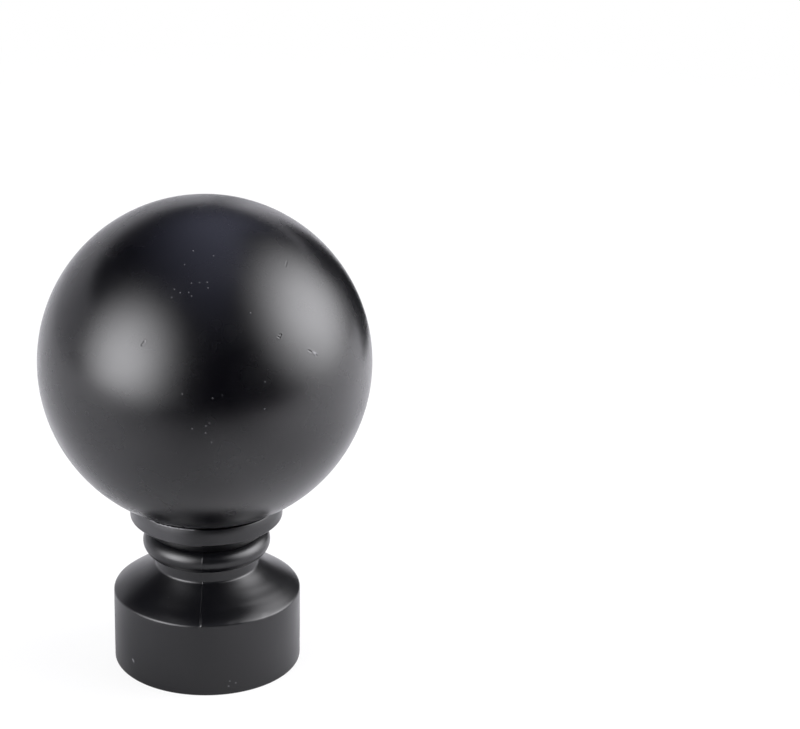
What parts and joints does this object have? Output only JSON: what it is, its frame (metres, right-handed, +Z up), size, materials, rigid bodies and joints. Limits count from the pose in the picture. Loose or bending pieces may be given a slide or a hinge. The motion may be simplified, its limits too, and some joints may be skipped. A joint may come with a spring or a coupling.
{
  "type": "curtain pole finial",
  "caption": "Satin black ball finial on a moulded socket with a collar, bead and conical shoulder; the socket pushes over the end of a curtain pole.",
  "frame": {"origin": "centre of the socket's mouth, on the plane of the rim that the finial stands on", "axes": "+Z up along the finial's axis, from the mouth to the ball; X and Y are alike, with the mould line of the socket on -Y"},
  "size_m": [0.057, 0.057, 0.0842],
  "materials": {
    "ball_black": "satin black, with fine dust and small pits",
    "socket_black": "satin black as moulded, with a mould line and flow marks"
  },
  "bodies": {
    "root": {"ball": "ball_black", "socket": "socket_black"}
  },
  "joints": []
}
